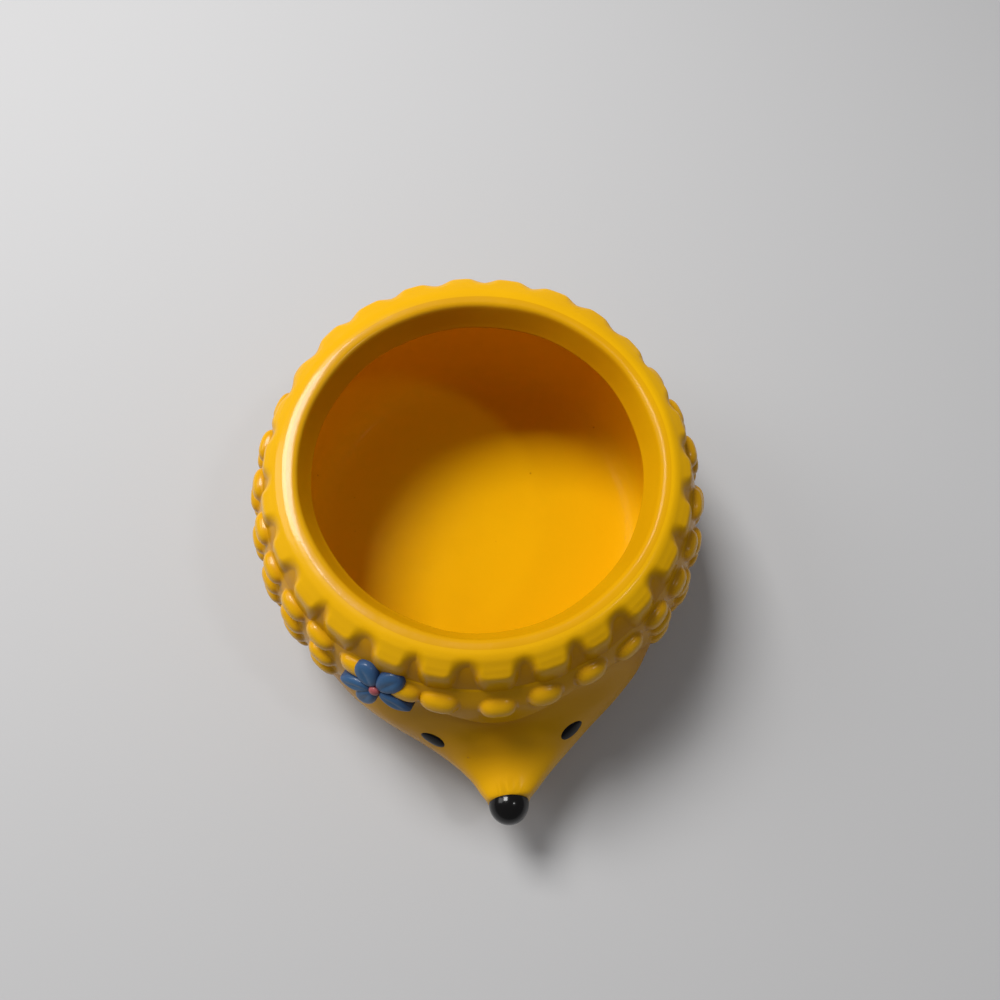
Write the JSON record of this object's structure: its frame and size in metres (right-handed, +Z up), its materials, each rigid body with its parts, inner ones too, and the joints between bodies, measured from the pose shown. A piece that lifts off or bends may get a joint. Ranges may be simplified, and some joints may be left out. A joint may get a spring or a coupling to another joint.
{
  "type": "animal shaped planter",
  "caption": "Small round ceramic planter shaped like a hedgehog: open bowl with a bevelled mouth, quilled coat, smooth snouted face, black nose and eyes, and a flower at the hem.",
  "frame": {"origin": "on the pot's axis, in the plane of the foot that it stands on", "axes": "+Z up out of the pot's mouth, -Y forward towards the snout, +X to the right of someone who faces the snout"},
  "size_m": [0.086, 0.1017, 0.0416],
  "materials": {
    "yellow_glaze": "gloss",
    "black_glaze": "gloss",
    "blue_glaze": "gloss",
    "coral_glaze": "gloss"
  },
  "bodies": {
    "root": {"pot_body": "yellow_glaze", "rim": "yellow_glaze", "head": "yellow_glaze", "nose": "black_glaze", "eye_left": "black_glaze", "eye_right": "black_glaze", "quill_row_1": "yellow_glaze", "quill_row_2": "yellow_glaze", "quill_row_3": "yellow_glaze", "quill_row_4": "yellow_glaze", "quill_row_5": "yellow_glaze", "flower_petal_1": "blue_glaze", "flower_petal_2": "blue_glaze", "flower_petal_3": "blue_glaze", "flower_petal_4": "blue_glaze", "flower_petal_5": "blue_glaze", "flower_centre": "coral_glaze"}
  },
  "joints": []
}
